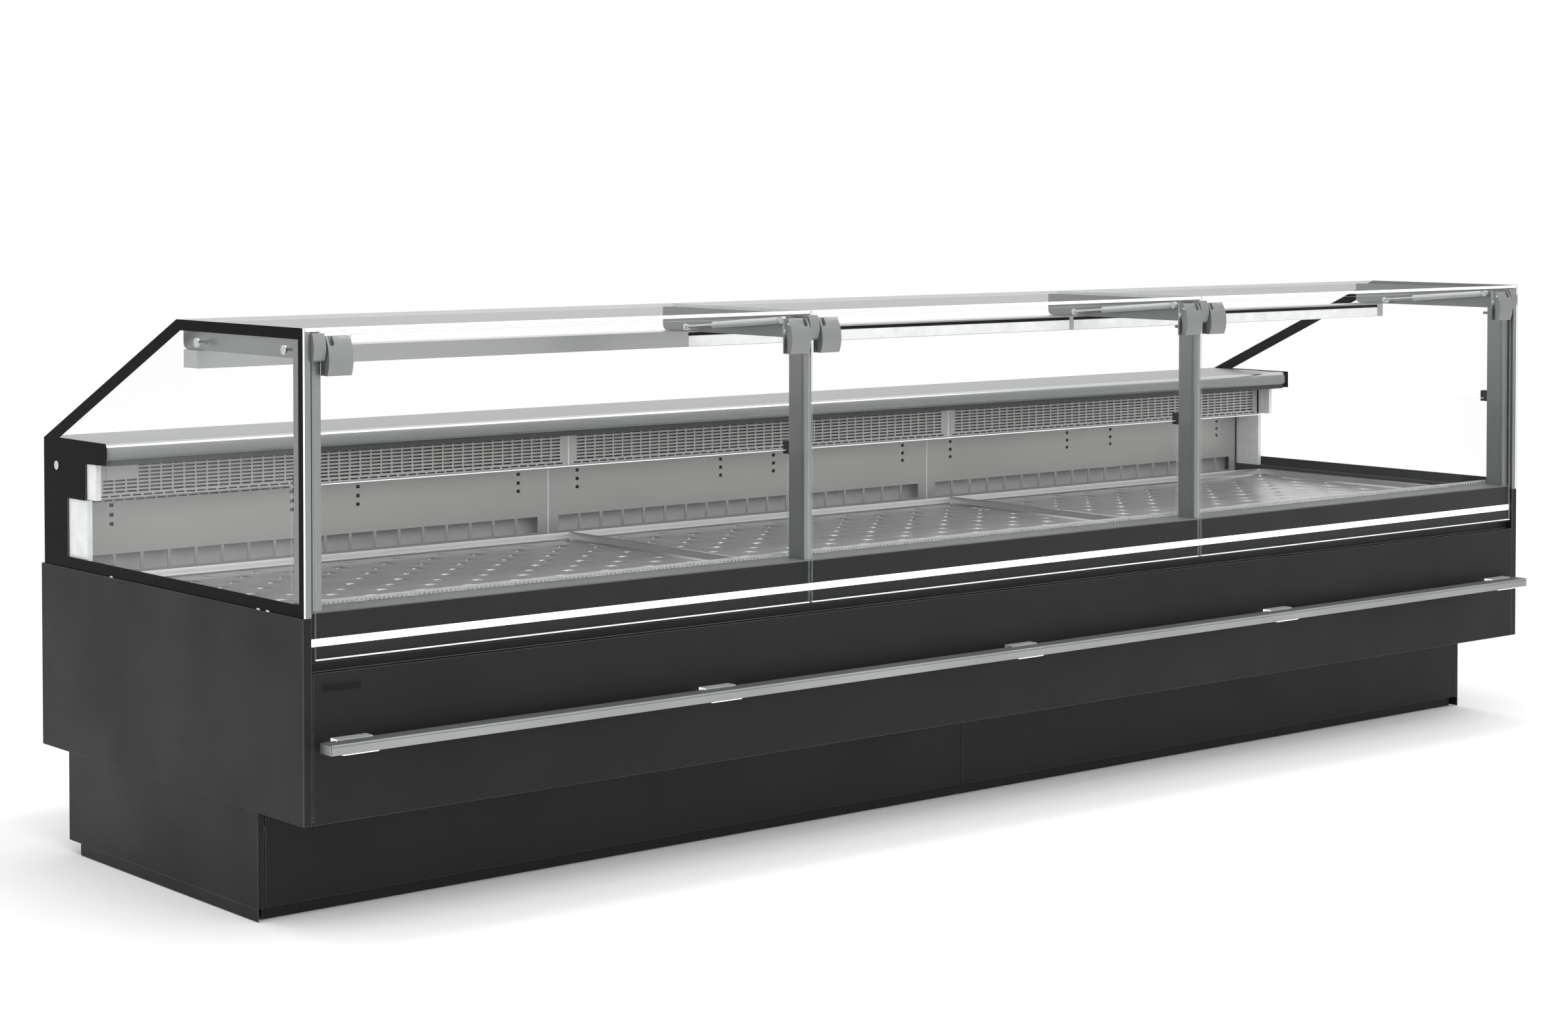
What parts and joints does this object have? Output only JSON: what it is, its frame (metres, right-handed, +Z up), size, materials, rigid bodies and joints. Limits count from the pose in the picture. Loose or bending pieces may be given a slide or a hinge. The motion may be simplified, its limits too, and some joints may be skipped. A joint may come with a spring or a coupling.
{
  "type": "refrigerated serve-over deli case",
  "caption": "Long refrigerated serve-over counter with hinged front panes, sloped glass ends, stainless staff worktop, bumper rail and dark recessed base.",
  "frame": {"origin": "centre of the overall footprint, on the floor", "axes": "+X along the case to the customer's right, +Y from the customer side to the staff side, +Z up"},
  "size_m": [3.79, 1.165, 1.174],
  "materials": {
    "black_steel": "satin powder coat",
    "zinc_steel": "galvanised",
    "black_plastic": "fine moulded texture",
    "tank_liner": "smooth foam-filled steel skins",
    "grey_pipe": "extruded waste pipe",
    "white_diffuser": "opal diffuser, lit from behind",
    "satin_aluminium": "satin anodised extrusion",
    "clear_plastic": "translucent moulded",
    "clear_glass": "polished toughened float glass",
    "bright_steel": "ground and polished",
    "black_print": "fired ceramic ink on glass",
    "light_plastic": "moulded",
    "display_steel": "warm grey coated sheet",
    "stainless": "fine brushed",
    "coil_aluminium": "bare fins",
    "strut_black": "gloss black tube",
    "grey_plastic": "moulded"
  },
  "bodies": {
    "case": {"side_panels": "black_steel", "base_side_plates": "black_steel", "base_panels": "black_steel", "kick_boards": "black_steel", "base_frame": "zinc_steel", "levelling_feet": "black_plastic", "insulated_tank": "tank_liner", "drain_pipe": "grey_pipe", "front_panel": "black_steel", "front_fascia": "black_steel", "front_light_strip": "white_diffuser", "front_sill": "satin_aluminium", "front_air_grille": "satin_aluminium", "rear_panel": "black_steel", "bumper_rail": "satin_aluminium", "bumper_end_caps": "black_plastic", "bumper_brackets": "clear_plastic", "glass_posts": "satin_aluminium", "canopy_arms": "satin_aluminium", "guard_clips": "black_plastic", "guard_glass": "clear_glass", "canopy_beam": "satin_aluminium", "canopy_light": "white_diffuser", "top_glass": "clear_glass", "hinge_lugs": "satin_aluminium", "hinge_and_strut_pins": "bright_steel", "end_glass": "clear_glass", "end_glass_borders": "black_print", "end_trims": "satin_aluminium", "end_glass_studs": "bright_steel", "rear_corner_blocks": "light_plastic", "rear_wall_panels": "display_steel", "air_duct_grilles": "display_steel", "air_duct_shelves": "display_steel", "worktop": "stainless", "worktop_seal": "black_plastic", "deck_bars": "stainless", "evaporator_coils": "coil_aluminium", "fan_plate": "zinc_steel", "fan_motors": "black_plastic", "switch_plate": "black_plastic"},
    "front_pane_left": {"front_glass_left": "clear_glass", "glass_clamps_left": "satin_aluminium"},
    "strut_rods_left": {"strut_rods_left": "bright_steel"},
    "strut_tubes_left": {"strut_tubes_left": "strut_black"},
    "deck_tray_left": {"deck_tray_left": "stainless"},
    "fan_blades_left": {"fan_blades_left": "grey_plastic"},
    "front_pane_middle": {"front_glass_middle": "clear_glass", "glass_clamps_middle": "satin_aluminium"},
    "strut_rods_middle": {"strut_rods_middle": "bright_steel"},
    "strut_tubes_middle": {"strut_tubes_middle": "strut_black"},
    "deck_tray_middle": {"deck_tray_middle": "stainless"},
    "fan_blades_middle": {"fan_blades_middle": "grey_plastic"},
    "front_pane_right": {"front_glass_right": "clear_glass", "glass_clamps_right": "satin_aluminium"},
    "strut_rods_right": {"strut_rods_right": "bright_steel"},
    "strut_tubes_right": {"strut_tubes_right": "strut_black"},
    "deck_tray_right": {"deck_tray_right": "stainless"},
    "fan_blades_right": {"fan_blades_right": "grey_plastic"},
    "light_switch_rocker": {"light_switch_rocker": "black_plastic"}
  },
  "joints": [
    {"name": "front_glass_left_hinge", "type": "hinge", "parent": "case", "child": "front_pane_left", "pos_m": [-1.25, -0.5245, 1.131], "axis": [-1, 0, 0], "range_deg": [0, 80]},
    {"name": "strut_left_swing", "type": "hinge", "parent": "case", "child": "strut_rods_left", "pos_m": [-1.25, -0.1275, 1.124], "axis": [1, 0, 0], "range_deg": [0, 11.8]},
    {"name": "strut_left_extend", "type": "slide", "parent": "strut_rods_left", "child": "strut_tubes_left", "axis": [0, -0.9968, 0.0794], "range_m": [0, 0.03016]},
    {"name": "front_glass_middle_hinge", "type": "hinge", "parent": "case", "child": "front_pane_middle", "pos_m": [0, -0.5245, 1.131], "axis": [-1, 0, 0], "range_deg": [0, 80]},
    {"name": "strut_middle_swing", "type": "hinge", "parent": "case", "child": "strut_rods_middle", "pos_m": [0, -0.1275, 1.124], "axis": [1, 0, 0], "range_deg": [0, 11.8]},
    {"name": "strut_middle_extend", "type": "slide", "parent": "strut_rods_middle", "child": "strut_tubes_middle", "axis": [0, -0.9968, 0.0794], "range_m": [0, 0.03016]},
    {"name": "front_glass_right_hinge", "type": "hinge", "parent": "case", "child": "front_pane_right", "pos_m": [1.25, -0.5245, 1.131], "axis": [-1, 0, 0], "range_deg": [0, 80]},
    {"name": "strut_right_swing", "type": "hinge", "parent": "case", "child": "strut_rods_right", "pos_m": [1.25, -0.1275, 1.124], "axis": [1, 0, 0], "range_deg": [0, 11.8]},
    {"name": "strut_right_extend", "type": "slide", "parent": "strut_rods_right", "child": "strut_tubes_right", "axis": [0, -0.9968, 0.0794], "range_m": [0, 0.03016]},
    {"name": "deck_tray_left_lift", "type": "slide", "parent": "case", "child": "deck_tray_left", "axis": [0, 0, 1], "range_m": [0, 0.18]},
    {"name": "deck_tray_middle_lift", "type": "slide", "parent": "case", "child": "deck_tray_middle", "axis": [0, 0, 1], "range_m": [0, 0.18]},
    {"name": "deck_tray_right_lift", "type": "slide", "parent": "case", "child": "deck_tray_right", "axis": [0, 0, 1], "range_m": [0, 0.18]},
    {"name": "fan_left_spin", "type": "hinge", "parent": "case", "child": "fan_blades_left", "pos_m": [-1.25, -0.0565, 0.42], "axis": [0, 1, 0], "continuous": true},
    {"name": "fan_middle_spin", "type": "hinge", "parent": "case", "child": "fan_blades_middle", "pos_m": [0, -0.0565, 0.42], "axis": [0, 1, 0], "continuous": true},
    {"name": "fan_right_spin", "type": "hinge", "parent": "case", "child": "fan_blades_right", "pos_m": [1.25, -0.0565, 0.42], "axis": [0, 1, 0], "continuous": true},
    {"name": "light_switch_rock", "type": "hinge", "parent": "case", "child": "light_switch_rocker", "pos_m": [1.544, 0.5775, 0.76], "axis": [-1, 0, 0], "range_deg": [0, 10]}
  ],
  "couplings": [
    {"joint": "strut_left_swing", "follows": "front_glass_left_hinge", "ratio": 0.14741},
    {"joint": "strut_left_extend", "follows": "front_glass_left_hinge", "m_per_rad": 0.021564},
    {"joint": "strut_middle_swing", "follows": "front_glass_middle_hinge", "ratio": 0.14741},
    {"joint": "strut_middle_extend", "follows": "front_glass_middle_hinge", "m_per_rad": 0.021564},
    {"joint": "strut_right_swing", "follows": "front_glass_right_hinge", "ratio": 0.14741},
    {"joint": "strut_right_extend", "follows": "front_glass_right_hinge", "m_per_rad": 0.021564}
  ]
}
